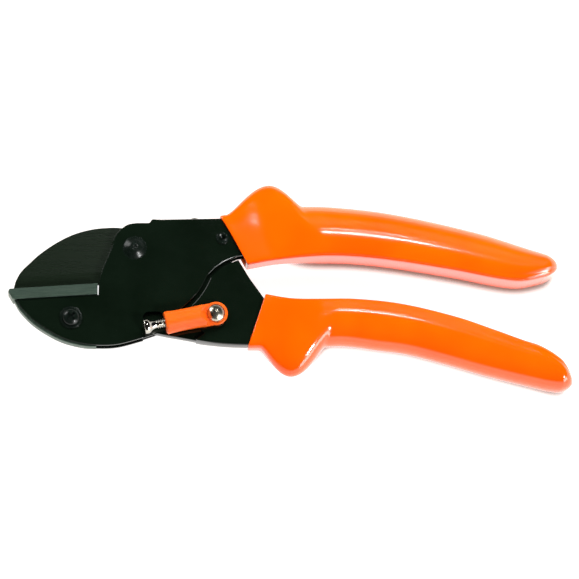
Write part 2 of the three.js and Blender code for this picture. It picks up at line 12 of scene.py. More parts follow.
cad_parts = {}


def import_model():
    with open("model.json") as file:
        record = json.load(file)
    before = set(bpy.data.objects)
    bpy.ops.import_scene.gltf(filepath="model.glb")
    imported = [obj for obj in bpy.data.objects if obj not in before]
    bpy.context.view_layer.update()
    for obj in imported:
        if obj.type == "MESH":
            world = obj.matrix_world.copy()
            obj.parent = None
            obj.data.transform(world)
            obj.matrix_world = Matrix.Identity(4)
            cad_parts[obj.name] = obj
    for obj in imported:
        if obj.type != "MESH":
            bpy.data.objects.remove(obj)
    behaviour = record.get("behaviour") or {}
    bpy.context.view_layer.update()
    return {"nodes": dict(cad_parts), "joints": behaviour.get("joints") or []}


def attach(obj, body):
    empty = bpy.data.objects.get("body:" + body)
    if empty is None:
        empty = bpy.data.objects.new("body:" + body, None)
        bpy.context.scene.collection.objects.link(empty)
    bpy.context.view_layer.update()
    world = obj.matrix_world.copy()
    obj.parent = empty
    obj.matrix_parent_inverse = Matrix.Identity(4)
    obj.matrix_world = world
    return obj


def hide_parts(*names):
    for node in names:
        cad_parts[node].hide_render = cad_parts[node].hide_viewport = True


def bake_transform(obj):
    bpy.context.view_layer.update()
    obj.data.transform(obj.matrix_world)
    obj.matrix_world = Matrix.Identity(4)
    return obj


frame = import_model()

MM = 0.001
PIVOT = Vector(next(j["pos_m"] for j in frame["joints"] if j["name"] == "main_pivot"))
TO_ROW = Matrix.Translation(PIVOT) @ Matrix.Scale(MM, 4)

# Layers, outwards from the middle plane: the blade, the lower handle's inner plates, the body's plates
BLADE_HALF = 1.0
INNER_IN, INNER_OUT = 1.1, 2.1
PLATE_IN, PLATE_OUT = 2.4, 3.5
ANVIL_HALF = 4.2
TONGUE_HALF = 2.3

# Thickness of the bent webs and of the channels inside the grips
WEB = 1.1

# Room between a fastener and the plate beside it
GAP = 0.05

# Where the fasteners sit, and which way the latch points
ANVIL_SCREW = (-23.1, -25.9)
SPACER = (32.0, 3.65)
LATCH = (29.3, -24.8)
LATCH_ANGLE = math.radians(191.3)
LATCH_SCREW_Z = 6.5

# Radii of the holes for the fasteners
BODY_HOLE = 3.1
BUSH_HOLE = 4.1
SCREW_HOLE = 2.15
SPACER_HOLE = 1.75
LATCH_HOLE = 1.7

# Arcs about the main pivot, in millimetres and degrees
EYE_R = 7.0
BODY_ARC_R = 28.3
JOGGLE_R = 29.5
JOGGLE_TOE_R = 40.5
TONGUE_CLEAR_R = 34.2
ARC_TOP = -22
JOGGLE_STOP = -51.5

# Closed, the body's lower edge ends here and the lower handle's begins
STOP_X = 3.0

# Points of a mesh closer than this are one point
WELD = 1e-4


# ---------------------------------------------------------------- outlines

def polar(radius, degrees, centre=(0.0, 0.0)):
    a = math.radians(degrees)
    return (centre[0] + radius * math.cos(a), centre[1] + radius * math.sin(a))


def arc(radius, start, end, centre=(0.0, 0.0), step=3.0):
    count = max(4, int(abs(end - start) / step))
    return [polar(radius, start + (end - start) * i / count, centre) for i in range(count + 1)]


def curve(points, per_span=9):
    """A smooth curve through the points (Catmull-Rom)."""

    def between(a, b, c, d, t):
        bend = 2 * a - 5 * b + 4 * c - d
        return 0.5 * (2 * b + (c - a) * t + bend * t * t + (3 * b - a - 3 * c + d) * t ** 3)

    out = []
    last = len(points) - 1
    for i in range(last):
        around = points[max(i - 1, 0)], points[i], points[i + 1], points[min(i + 2, last)]
        for k in range(per_span):
            out.append(tuple(between(*numbers, k / per_span) for numbers in zip(*around)))
    return out + [points[-1]]


def rectangle(left, bottom, right, top):
    return closed_outline([(left, bottom), (right, bottom), (right, top), (left, top)])


def closed_outline(*runs, spacing=1.5):
    """Joins runs of points into one closed outline, and adds points along its straight stretches."""
    raw = [p for run in runs for p in run]
    clean = [p for i, p in enumerate(raw) if (Vector(p) - Vector(raw[i - 1])).length > 0.02]
    out = []
    for i, p in enumerate(clean):
        q = clean[(i + 1) % len(clean)]
        count = max(1, int((Vector(q) - Vector(p)).length / spacing))
        out += [tuple(Vector(p).lerp(Vector(q), k / count)) for k in range(count)]
    area = sum(a[0] * b[1] - b[0] * a[1] for a, b in zip(out, out[1:] + out[:1]))
    return out if area > 0 else out[::-1]


def smooth_line(points):
    """A smooth y(x) through points given in order of x."""
    last = len(points) - 1

    def slope(i):
        a, b = points[max(i - 1, 0)], points[min(i + 1, last)]
        return (b[1] - a[1]) / (b[0] - a[0])

    def line(x):
        k = max(0, min(last - 1, sum(1 for p in points if p[0] <= x) - 1))
        (x0, y0), (x1, y1) = points[k], points[k + 1]
        t = (x - x0) / (x1 - x0)
        m0, m1 = slope(k) * (x1 - x0), slope(k + 1) * (x1 - x0)
        start = (2 * t ** 3 - 3 * t ** 2 + 1) * y0 + (t ** 3 - 2 * t ** 2 + t) * m0
        return start + (-2 * t ** 3 + 3 * t ** 2) * y1 + (t ** 3 - t ** 2) * m1

    return line


def blend_in(x, low, high):
    """0 below low, 1 above high, and smooth between."""
    t = min(max((x - low) / (high - low), 0.0), 1.0)
    return t * t * (3 - 2 * t)


# ---------------------------------------------------------------- meshes

def mesh_object(name, points, faces):
    """An object from points and faces, with its doubled points welded and its normals outwards."""
    mesh = bpy.data.meshes.new(name)
    mesh.from_pydata([tuple(p) for p in points], [], faces)
    obj = bpy.data.objects.new(name, mesh)
    bpy.context.scene.collection.objects.link(obj)
    bm = bmesh.new()
    bm.from_mesh(mesh)
    bmesh.ops.remove_doubles(bm, verts=bm.verts, dist=WELD)
    bmesh.ops.recalc_face_normals(bm, faces=bm.faces)
    bm.to_mesh(mesh)
    bm.free()
    return obj


def slab(name, outline, low, high, radius=0.0, steps=4):
    """A plate with the given outline. radius(x, y), or one number, rounds its edges."""
    rounding = radius if callable(radius) else (lambda x, y: radius)
    n = len(outline)
    inward = []
    for i in range(n):
        p, q, s = Vector(outline[i - 1]), Vector(outline[i]), Vector(outline[(i + 1) % n])
        a, b = (q - p).normalized(), (s - q).normalized()
        na, nb = Vector((-a.y, a.x)), Vector((-b.y, b.x))
        inward.append((na + nb) / max(1 + na.dot(nb), 0.45))
    if not callable(radius) and radius <= 0:
        levels = [(0.0, 0.0, low), (0.0, 0.0, high)]
    else:
        turns = [math.pi / 2 * k / steps for k in range(steps + 1)]
        levels = [(1 - math.sin(a), 1 - math.cos(a), low) for a in turns]
        levels += [(1 - math.sin(a), math.cos(a) - 1, high) for a in reversed(turns)]
    sections = []
    for inset, rise, z in levels:
        ring = []
        for (x, y), d in zip(outline, inward):
            r = rounding(x, y)
            ring.append((x + d.x * r * inset, y + d.y * r * inset, z + r * rise))
        sections.append(ring)
    return skin(name, sections)


def skin(name, sections):
    """A closed shell over a row of sections that all have the same number of points."""
    n = len(sections[0])
    points = [p for s in sections for p in s]
    faces = [[k * n + i, k * n + (i + 1) % n, (k + 1) * n + (i + 1) % n, (k + 1) * n + i]
             for k in range(len(sections) - 1) for i in range(n)]
    faces.append(list(range(n))[::-1])
    faces.append([(len(sections) - 1) * n + i for i in range(n)])
    return mesh_object(name, points, faces)


def lathe(name, profile, segments=64, centre=(0.0, 0.0)):
    """Turns a list of (radius, height) about an upright line through the centre."""
    sections = []
    for radius, z in profile:
        r = max(radius, 1e-3)
        turns = [2 * math.pi * i / segments for i in range(segments)]
        sections.append([(centre[0] + r * math.cos(a), centre[1] + r * math.sin(a), z) for a in turns])
    return skin(name, sections)


def rod(radius, low=-9, high=9, centre=(0.0, 0.0), segments=48):
    """A plain cylinder, for cutting round holes."""
    return lathe("rod", [(0, low), (radius, low), (radius, high), (0, high)], segments, centre)


def rounded(profile, radius=0.15, steps=3):
    """Rounds all corners of a lathe profile but its two ends."""
    out = [profile[0]]
    for a, b, c in zip(profile, profile[1:], profile[2:]):
        p, q, s = Vector(a), Vector(b), Vector(c)
        r = min(radius, (q - p).length * 0.45, (s - q).length * 0.45)
        start, end = q + (p - q).normalized() * r, q + (s - q).normalized() * r
        for k in range(steps + 1):
            t = k / steps
            out.append(tuple(start.lerp(q, t).lerp(q.lerp(end, t), t)))
    return out + [profile[-1]]


def combined(target, operation, *others):
    """Boolean of the target with other objects, which are used up."""
    for other in others:
        modifier = target.modifiers.new("boolean", "BOOLEAN")
        modifier.object = other
        modifier.operation = operation
        modifier.solver = "EXACT"
    graph = bpy.context.evaluated_depsgraph_get()
    mesh = bpy.data.meshes.new_from_object(target.evaluated_get(graph))
    target.modifiers.clear()
    target.data = mesh
    for other in others:
        bpy.data.objects.remove(other)
    return target


def joined(target, *others):
    """Several closed shells in one object."""
    bm = bmesh.new()
    for obj in (target, *others):
        bm.from_mesh(obj.data)
    bm.to_mesh(target.data)
    bm.free()
    for other in others:
        bpy.data.objects.remove(other)
    return target


def placed(obj, centre, angle):
    """Turns a shape about the pivot's line, then moves it to a centre."""
    obj.data.transform(Matrix.Translation((*centre, 0)) @ Matrix.Rotation(angle, 4, "Z"))
    return obj


def flat_faces_first(obj):
    """Gives level faces, and the rounded edges where they meet them, exactly level normals."""
    flat, near_flat = 0.9995, 0.8
    mesh = obj.data
    level = {}
    for face in mesh.polygons:
        if abs(face.normal.z) > flat:
            for v in face.vertices:
                level.setdefault(v, Vector((0, 0, math.copysign(1, face.normal.z))))
    normals = [Vector(n.vector) for n in mesh.corner_normals]
    for face in mesh.polygons:
        for i in face.loop_indices:
            up = level.get(mesh.loops[i].vertex_index)
            if up and up.dot(normals[i]) > near_flat:
                normals[i] = up
    mesh.normals_split_custom_set(normals)


def finish_piece(obj, material, body, slot, *nodes, sharp=40, flat=False, blend_to=None):
    """Takes a piece to the row frame, shades it, and says what it rides on and stands for; a piece given
    blend_to is left in place on no body.
    """
    obj.data.transform(TO_ROW)
    obj.data.materials.clear()
    obj.data.materials.append(material)
    obj.data.shade_smooth()
    obj.data.set_sharp_from_angle(angle=math.radians(sharp))
    if flat:
        flat_faces_first(obj)
    if blend_to:
        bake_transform(obj)
    else:
        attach(obj, body)
    if nodes:
        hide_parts(*nodes)
    return obj


# ---------------------------------------------------------------- materials

class Nodes:
    """A short way to write a material's nodes."""

    def __init__(self, name):
        self.material = bpy.data.materials.new(name)
        self.material.use_nodes = True
        self.tree = self.material.node_tree
        self.shader = self.tree.nodes["Principled BSDF"]
        self.place = self.add("ShaderNodeTexCoord").outputs["Object"]

    def add(self, kind, **settings):
        node = self.tree.nodes.new(kind)
        for key, value in settings.items():
            setattr(node, key, value)
        return node

    def link(self, source, socket):
        self.tree.links.new(source, socket)

    def stretched(self, scale, turn=0.0):
        node = self.add("ShaderNodeMapping")
        node.inputs["Scale"].default_value = scale
        node.inputs["Rotation"].default_value = (0, 0, turn)
        self.link(self.place, node.inputs["Vector"])
        return node.outputs["Vector"]

    def noise(self, scale, detail=3.0, roughness=0.5, place=None):
        node = self.add("ShaderNodeTexNoise")
        node.inputs["Scale"].default_value = scale
        node.inputs["Detail"].default_value = detail
        node.inputs["Roughness"].default_value = roughness
        self.link(place or self.place, node.inputs["Vector"])
        return node.outputs["Fac"]

    def specks(self, scale, size):
        """1 inside small scattered dots, 0 elsewhere."""
        node = self.add("ShaderNodeTexVoronoi")
        node.inputs["Scale"].default_value = scale
        self.link(self.place, node.inputs["Vector"])
        return self.ramp(node.outputs["Distance"], size, size * 0.5)

    def ramp(self, value, low, high, to_low=0.0, to_high=1.0):
        node = self.add("ShaderNodeMapRange", clamp=True)
        for key, number in zip(("From Min", "From Max", "To Min", "To Max"), (low, high, to_low, to_high)):
            node.inputs[key].default_value = number
        self.link(value, node.inputs["Value"])
        return node.outputs["Result"]

    def times(self, value, number):
        node = self.add("ShaderNodeMath", operation="MULTIPLY")
        self.link(value, node.inputs[0])
        node.inputs[1].default_value = number
        return node.outputs[0]

    def mix(self, amount, first, second):
        node = self.add("ShaderNodeMix", data_type="RGBA")
        self.link(amount, node.inputs["Factor"])
        for socket, colour in (("A", first), ("B", second)):
            target = next(s for s in node.inputs if s.name == socket and s.type == "RGBA")
            if isinstance(colour, tuple):
                target.default_value = (*colour, 1)
            else:
                self.link(colour, target)
        return next(s for s in node.outputs if s.type == "RGBA")

    def bump(self, height, strength, distance, under=None):
        node = self.add("ShaderNodeBump")
        node.inputs["Strength"].default_value = strength
        node.inputs["Distance"].default_value = distance
        self.link(height, node.inputs["Height"])
        if under:
            self.link(under, node.inputs["Normal"])
        return node.outputs["Normal"]

    def finish(self, colour=None, roughness=None, normal=None, **numbers):
        for key, source in (("Base Color", colour), ("Roughness", roughness), ("Normal", normal)):
            if source is not None:
                self.link(source, self.shader.inputs[key])
        for key, number in numbers.items():
            self.shader.inputs[key.replace("_", " ")].default_value = number
        return self.material


def pvc():
    m = Nodes("orange_pvc")
    tone = m.ramp(m.noise(45, 2), 0.35, 0.65)
    colour = m.mix(tone, (1.0, 0.099, 0.0), (1.0, 0.122, 0.0))
    dust = m.specks(260, 0.045)
    colour = m.mix(m.times(dust, 0.35), colour, (0.55, 0.12, 0.03))
    roughness = m.ramp(m.noise(160, 4, 0.65), 0.3, 0.75, 0.08, 0.12)
    wave = m.bump(m.noise(55, 1), 0.10, 0.0001)
    peel = m.bump(m.noise(900, 2), 0.08, 0.00005, under=wave)
    return m.finish(colour, roughness, peel, IOR=1.48, Coat_Weight=0.6, Coat_Roughness=0.12)


def enamel(name, dark, light):
    m = Nodes(name)
    tone = m.ramp(m.noise(60, 4, 0.6), 0.35, 0.7)
    colour = m.mix(tone, dark, light)
    dust = m.specks(420, 0.04)
    colour = m.mix(m.times(dust, 0.5), colour, (0.03, 0.04, 0.03))
    roughness = m.ramp(m.noise(220, 4, 0.6), 0.3, 0.75, 0.06, 0.12)
    wave = m.bump(m.noise(120, 1), 0.2, 0.00006)
    peel = m.bump(m.noise(1100, 2), 0.12, 0.00003, under=wave)
    return m.finish(colour, roughness, peel, IOR=1.38)


def blade_coating():
    m = Nodes("blade_coating")
    grain = m.noise(60, 5, 0.7, m.stretched((1.0, 14.0, 14.0), math.radians(4)))
    tone = m.ramp(grain, 0.3, 0.75)
    cloud = m.ramp(m.noise(55, 3), 0.35, 0.7)
    colour = m.mix(tone, (0.0052, 0.0100, 0.0052), (0.0066, 0.0118, 0.0062))
    colour = m.mix(m.times(cloud, 0.2), colour, (0.0085, 0.0135, 0.0080))
    roughness = m.ramp(grain, 0.3, 0.8, 0.26, 0.30)
    fine = m.bump(grain, 0.06, 0.00002)
    return m.finish(colour, roughness, m.bump(m.noise(1500, 2), 0.12, 0.00003, under=fine), IOR=1.38)


def anvil_metal():
    m = Nodes("anvil_metal")
    grain = m.noise(220, 5, 0.7, m.stretched((1.0, 9.0, 9.0), math.radians(4)))
    colour = m.mix(m.ramp(grain, 0.3, 0.75), (0.066, 0.106, 0.080), (0.108, 0.158, 0.122))
    pits = m.specks(330, 0.10)
    colour = m.mix(m.times(pits, 0.8), colour, (0.42, 0.50, 0.45))
    roughness = m.ramp(m.noise(500, 4, 0.7), 0.3, 0.75, 0.34, 0.55)
    fine = m.bump(grain, 0.30, 0.00006)
    return m.finish(colour, roughness, m.bump(pits, 0.3, 0.00006, under=fine), Metallic=0.75)


def bare_metal(name, colour, low, high, streak=5.0):
    m = Nodes(name)
    grain = m.noise(400, 5, 0.7, m.stretched((1.0, streak, streak)))
    shade = tuple(c * 0.72 for c in colour)
    tone = m.mix(m.ramp(grain, 0.3, 0.75), shade, colour)
    roughness = m.ramp(m.noise(700, 4, 0.7), 0.3, 0.75, low, high)
    return m.finish(tone, roughness, m.bump(grain, 0.12, 0.00003), Metallic=1.0)


def black_metal(name, low, high):
    m = Nodes(name)
    tone = m.ramp(m.noise(500, 4, 0.65), 0.4, 0.75)
    colour = m.mix(tone, (0.003, 0.006, 0.004), (0.007, 0.011, 0.009))
    roughness = m.ramp(m.noise(800, 4, 0.65), 0.3, 0.8, low, high)
    return m.finish(colour, roughness, m.bump(m.noise(1400, 3), 0.08, 0.00003), IOR=1.36)


def lever_plastic():
    m = Nodes("orange_lever")
    tone = m.ramp(m.noise(300, 4, 0.6, m.stretched((1.0, 4.0, 4.0), LATCH_ANGLE)), 0.3, 0.75)
    colour = m.mix(tone, (0.84, 0.105, 0.004), (0.92, 0.140, 0.008))
    scuff = m.ramp(m.noise(650, 5, 0.75), 0.58, 0.75)
    colour = m.mix(m.times(scuff, 0.45), colour, (0.62, 0.10, 0.02))
    roughness = m.ramp(m.noise(500, 4, 0.65), 0.3, 0.75, 0.30, 0.44)
    fine = m.bump(m.noise(1300, 3, 0.6), 0.22, 0.00005)
    return m.finish(colour, roughness, m.bump(tone, 0.15, 0.00008, under=fine), IOR=1.38)


# ---------------------------------------------------------------- handles

# Each handle's guard is a swelling of its outer side: its x, its reach forwards and backwards, its height
# and its steepness. inner_wall is the sleeve's thickness at the front and further back, and side says
# which way is out.
UPPER = {
    "front_inner": 40.7, "front_outer": 31.2, "tail": 155.2,
    "inner": smooth_line([(40.7, -6.5), (52, -4.5), (65, -3.6), (80, -3.8), (97, -5.7), (118, -9.2),
                          (133, -12.2), (141, -13.0), (148, -11.8), (155.2, -9.5)]),
    "outer": smooth_line([(31.2, 12.5), (45, 14.7), (60, 16.2), (75, 15.8), (96, 13.1), (126, 6.2),
                          (145, 0.0), (155.2, -3.4)]),
    "guard": (48.8, (15.2, 12.6), 9.2, 1.6), "inner_wall": (3.5, 2.3), "side": 1,
}
LOWER = {
    "front_inner": 47.3, "front_outer": 40.9, "tail": 159.2,
    "inner": smooth_line([(47.3, -17.2), (57, -19.0), (66, -19.5), (80, -19.6), (97, -21.5), (117, -26.4),
                          (131, -31.3), (141, -35.0), (147, -37.0), (153, -40.6), (159.2, -46.2)]),
    "outer": smooth_line([(40.9, -37.1), (60, -36.9), (75, -35.9), (89, -37.6), (99, -39.0), (113, -42.7),
                          (127, -46.8), (145, -51.4), (152, -52.9), (159.2, -53.2)]),
    "guard": (56.6, (11.2, 12.6), -10.2, 1.3), "inner_wall": (1.3, 2.3), "side": -1,
}

# Pairs are for the narrow front and the wide part further back
OUTER_WALL = (1.1, 2.3)
STEEL_HALF = (3.5, 6.4)
GRIP_HALF = (4.9, 8.7)
GRIP_CORNER = (1.0, 1.7)
GRIP_POWER = (5.0, 2.2)
CHANNEL_BEND = (1.0, 3.4)

GUARD_POWER = 2.1
CAVITY_POWER = 6.0
CAVITY_END = 0.93
GRIP_LENGTH = 115
TAIL_ROUND = 5.0
TAIL_START = 0.95


def widen(pair, x):
    """Goes from a pair's front value to its back value over the stretch where the grips widen."""
    return pair[0] + (pair[1] - pair[0]) * blend_in(x, 41, 64)


def handle_line(handle, t, wall, guard):
    """A handle's section at t, from 0 at the front to 1 at the tail, set in by a share of the wall.

    Returns the outer side's x, the inner point and the outer point.
    """
    xi = handle["front_inner"] + (handle["tail"] - handle["front_inner"]) * t
    xo = handle["front_outer"] + (handle["tail"] - handle["front_outer"]) * t
    at, reach, height, steepness = handle["guard"]
    u = (at - xo) / reach[0] if xo < at else (xo - at) / reach[1]
    rise = height * (1 - u * u) ** steepness * guard if u < 1 else 0.0
    side = handle["side"]
    inner = Vector((xi, handle["inner"](xi) + side * wall * widen(handle["inner_wall"], xi)))
    outer = Vector((xo, handle["outer"](xo) + rise - side * wall * widen(OUTER_WALL, xo)))
    return xo, inner, outer


def grip_section(inner, outer, half, corner, crown, power):
    """A flat inner side with tight corners, a slightly crowned face, and an outer side of a superellipse."""
    depth = (outer - inner).length
    along = (outer - inner).normalized()
    shoulder, peak = half - crown, 0.34 * depth
    quarter = [math.radians(90 * k / 5) for k in range(1, 5)]
    profile = [(0.0, (shoulder - corner) * k / 4) for k in range(5)]
    profile += [(corner * (1 - math.cos(a)), shoulder - corner * (1 - math.sin(a))) for a in quarter]
    profile += [(corner + (peak - corner) * k / 6, half - crown * (1 - k / 6) ** 2) for k in range(6)]
    profile += [(peak + (depth - peak) * math.sin(a) ** (2 / power), half * math.cos(a) ** (2 / power))
                for a in (math.radians(90 * k / 22) for k in range(22))]
    ring = profile + [(depth, 0.0)] + [(a, -z) for a, z in reversed(profile[1:])]
    return [(*(inner + along * a), z) for a, z in ring]


def grip(name, handle, material, body):
    """A moulded sleeve: its cavity from the deep end to the front, a rounded rim, then its outside."""

    def ring(t, wall, guard):
        plain = handle_line(handle, t, wall, 0.0)[2]
        xo, inner, outer = handle_line(handle, t, wall, guard)
        past = max(0.0, (xo - handle["tail"] + TAIL_ROUND) / TAIL_ROUND) if wall < 1 else 0.0
        shrink = math.sqrt(max(1 - past * past, 0.0006))
        middle = (inner + outer) / 2
        inner, outer = middle + (inner - middle) * shrink, middle + (outer - middle) * shrink
        half = widen(GRIP_HALF, xo) * (1 - wall) + (widen(STEEL_HALF, xo) + 0.3) * wall
        corner = (1 - wall) * widen(GRIP_CORNER, xo) + wall * 0.4
        crown = 0.9 * blend_in(xo, 38, 60) * (1 - wall)
        swelling = blend_in((outer - inner).length - (plain - inner).length, 0.0, 8.0)
        power = widen(GRIP_POWER, xo)
        power = (power + (GUARD_POWER - power) * swelling) * (1 - wall) + CAVITY_POWER * wall
        return grip_section(inner, outer, half * shrink, corner * shrink, crown * shrink, power)

    sections = [ring(t, 1.0, 0.0) for t in (CAVITY_END, 0.8, 0.65, 0.5, 0.35, 0.2, 0.1, 0.03)]
    rim = [(1.0, 0.7), (0.96, 0.35), (0.82, 0.1), (0.62, 0.0), (0.38, 0.0), (0.18, 0.1), (0.04, 0.35)]
    sections += [ring(depth / GRIP_LENGTH, wall, 1 - wall) for wall, depth in rim]
    straight_steps, tail_steps = 134, 26
    straight = [0.006 + 0.944 * k / straight_steps for k in range(straight_steps + 1)]
    tail = [TAIL_START + 0.05 * math.sin(math.pi / 2 * k / tail_steps) for k in range(1, tail_steps + 1)]
    sections += [ring(t, 0.0, 1.0) for t in straight + tail]
    obj = skin(name, sections)
    return finish_piece(obj, material, body, "orange_pvc", name.replace("_sleeve", "_grip"), sharp=60)


def bent_side(depth, half, bend):
    """Half of a channel's section: a straight flank and the bend to its back."""
    turns = [math.radians(90 * i / 8) for i in range(9)]
    return [(0.0, half)] + [(depth - bend + bend * math.sin(a), half - bend + bend * math.cos(a))
                            for a in turns]


def channel(handle, start):
    """The pressed channel inside a grip, from t = start to near its tail, open on the inner side."""
    sections = []
    for k in range(40):
        t = start + (CAVITY_END - start) * k / 39
        xo, inner, outer = handle_line(handle, t, 1.0, 0.0)
        depth, along = (outer - inner).length, (outer - inner).normalized()
        half = widen(STEEL_HALF, xo)
        bend = widen(CHANNEL_BEND, xo)
        outside = bent_side(depth, half, bend)
        inside = bent_side(depth - WEB, half - WEB, max(bend - WEB, 0.2))
        ring = outside + [(a, -z) for a, z in reversed(outside)]
        ring += [(a, -z) for a, z in inside] + list(reversed(inside))
        sections.append([(*(inner + along * a), z) for a, z in ring])
    return skin("channel", sections)


# ---------------------------------------------------------------- body frame and anvil

JAW_EDGE = [(-42.8, -19.25), (-40.7, -22.6), (-36.2, -27.1), (-30.5, -31), (-25, -33.8), (-18.6, -35.5),
            (-12.2, -36.1), (-5.5, -35.6), (STOP_X, -33.3)]


def body_outline():
    return closed_outline(
        curve(JAW_EDGE), arc(BODY_ARC_R, math.degrees(-math.acos(STOP_X / BODY_ARC_R)), ARC_TOP),
        curve([(29.2, -7.6), (32.4, -5.4), (37.7, -2.9)]), [(41, -2.5), (45, -1.4), (45, 11.8), (31.3, 11.3)],
        curve([(6.8, 10.8), (6.3, 10.6), (5.6, 9.65), (5.0, 9.4)], 4), [(1, 9.4)],
        curve([(1, 9.4), (-2.4, 8.8), (-5.2, 6.8), (-7.2, 4.2), (-7.9, 1.2)]),
        curve([(-7.9, 1.2), (-9.4, -2.5), (-11.7, -8), (-12.9, -13), (-13.1, -17.45)]))


def body_rounding(x, y):
    """The web's bends are rounder than the plates' cut edges, and the swept arc is softer than the rest."""
    if y > 6:
        return 0.2 + 0.7 * blend_in(x, 7.0, 9.5)
    return 0.2 + 0.6 * blend_in(x, 3.5, 8.0) * blend_in(40.0 - x, 0.0, 4.0)


def body_frame(paint):
    obj = slab("body_shell", body_outline(), -PLATE_OUT, PLATE_OUT, body_rounding)
    hollow = slab("hollow", closed_outline(
        [(-60, -50), (60, -50), (60, 11.8 - WEB), (45, 11.8 - WEB), (31.3, 11.3 - WEB),
         (6.8 + WEB, 10.8 - WEB), (6.8, 30), (-60, 30)]), -PLATE_IN, PLATE_IN)
    notch = slab("notch", closed_outline(
        [(STOP_X, -30)], arc(2, 180, 90, (STOP_X + 2, -25.7), 9), arc(2, 90, 0, (8.3, -25.7), 9),
        [(10.5, -26.2), (10.5, -30)]), PLATE_IN - 0.5, PLATE_OUT + 1)
    combined(obj, "DIFFERENCE", hollow, notch, rod(BODY_HOLE), rod(SCREW_HOLE, centre=ANVIL_SCREW),
             rod(SPACER_HOLE, centre=SPACER))
    joined(obj, channel(UPPER, 0.105))
    return finish_piece(obj, paint, "anvil_side", "black_paint", "body_frame", sharp=30, flat=True)


TONGUE_END_X = -14


def anvil(metal):
    """A bar with sharp edges, and a tongue on it that goes between the body's plates."""
    bar = slab("anvil_bar", closed_outline(
        [(-45.3, -15.35), (-45.8, -16.4), (-44.1, -19.15), (-13.5, -17.3), (-13.5, -13.3)]),
        -ANVIL_HALF, ANVIL_HALF, lambda x, y: 0.05 if x > TONGUE_END_X else 0.14)
    clear_arc = arc(TONGUE_CLEAR_R, math.degrees(-math.acos(TONGUE_END_X / TONGUE_CLEAR_R)), -119.5)
    tongue = slab("tongue", closed_outline(
        [(TONGUE_END_X, -16), (-40.6, -17.2), (-43.5, -19.6)],
        curve([(-43.5, -19.6), (-41.4, -23.1), (-36.9, -27.8), (-31.0, -31.8), (-25.3, -34.5), (-18.8, -36.1),
               (TONGUE_END_X, -36.4)]), clear_arc), -TONGUE_HALF, TONGUE_HALF, 0.12)
    combined(bar, "UNION", tongue)
    combined(bar, "DIFFERENCE", rod(SCREW_HOLE, centre=ANVIL_SCREW))
    return finish_piece(bar, metal, "anvil_side", "anvil_metal", "anvil", sharp=30, flat=True)


# ---------------------------------------------------------------- lower handle and blade

LOWER_EDGE = [(8, -31.5), (12.5, -32.4), (17.5, -33.3), (25, -34.7), (32, -35.6), (41, -36), (47, -35.8)]
REAR_EDGE = [(50, -19.9), (47.1, -19), (46.2, -17.7)]
UPPER_CORNER = [(46.2, -17.7), (44.2, -14.8), (41.4, -10.7), (37.9, -4.5)]


def inner_plate_outline():
    """The plates that carry the blade. Towards the grip they end inside the stepped part."""
    return closed_outline(
        arc(EYE_R, 50, 245),
        curve([polar(EYE_R, 245), (-1.8, -10.5), (0, -17), (1.6, -25), (2.4, -33.1)]), [(STOP_X, -33.2)],
        curve(LOWER_EDGE[:4])[:-3], [(28, -33.4), (44, -33.5), (44, -17.5), (36, -7.5)],
        curve([(36, -5.2), (34, -4.3), (29.5, -2.2), (25.5, -1.0)]), [(17, -1.0)],
        curve([(17, -1.0), (13, 0.2), (8.5, 2.6), polar(EYE_R, 50)]))


def joggle_outline():
    """The part of the lower handle's plates that steps outwards, level with the body's plates."""
    lowest = smooth_line(LOWER_EDGE)
    toe = [p for p in arc(JOGGLE_TOE_R, JOGGLE_STOP, -60, step=0.5) if p[1] > lowest(p[0]) + 0.05]
    edge = [p for p in curve(LOWER_EDGE) if p[0] > toe[-1][0] + 0.15]
    return closed_outline(
        arc(JOGGLE_R, ARC_TOP, JOGGLE_STOP), toe, edge, REAR_EDGE, curve(UPPER_CORNER),
        curve([(37.6, -4.35), (35.2, -5.4), (32.4, -6.9), (29.8, -8.9), polar(JOGGLE_R, ARC_TOP)]))


def joggle_rounding(x, y):
    """Soft where the plate steps outwards and along the bottom web, crisp at its toe and its cut edge."""
    if y < -31 or x < 25.5 and y < -27:
        return 0.2 + 0.7 * blend_in(x, 25.0, 29.0)
    return 0.75 - 0.55 * blend_in(x - 0.45 * y, 40.8, 42.6)


def lower_handle(paint):
    """Two inner plates and the stepped plates around them, hollowed out, with the grip's channel."""
    obj = slab("lower_shell", inner_plate_outline(), -INNER_OUT, INNER_OUT, 0.15)
    combined(obj, "UNION", slab("stepped", joggle_outline(), -PLATE_OUT, PLATE_OUT, joggle_rounding, steps=6))
    raised = [(x, y + WEB) for x, y in [(7.2, -29.6)] + curve(LOWER_EDGE[1:])]
    inner_hollow = slab("inner_hollow", closed_outline(
        [(-20, 20), (-20, -50), (7.2, -50)], raised, [(56, -35.8 + WEB), (56, 20)]), -INNER_IN, INNER_IN)
    step_hollow = slab("step_hollow", closed_outline(
        arc(JOGGLE_R + 1, -18, JOGGLE_STOP + 1.8), arc(JOGGLE_TOE_R + 1, JOGGLE_STOP + 1.8, -55),
        [p for p in raised if p[0] > 24.5], [(56, -35.8 + WEB), (56, 6)]), -PLATE_IN, PLATE_IN)
    combined(obj, "DIFFERENCE", step_hollow)
    combined(obj, "DIFFERENCE", inner_hollow, rod(BUSH_HOLE), rod(LATCH_HOLE, 0, centre=LATCH))
    joined(obj, channel(LOWER, 0.05))
    return finish_piece(obj, paint, "blade_side", "black_paint", "lower_handle", sharp=30, flat=True)


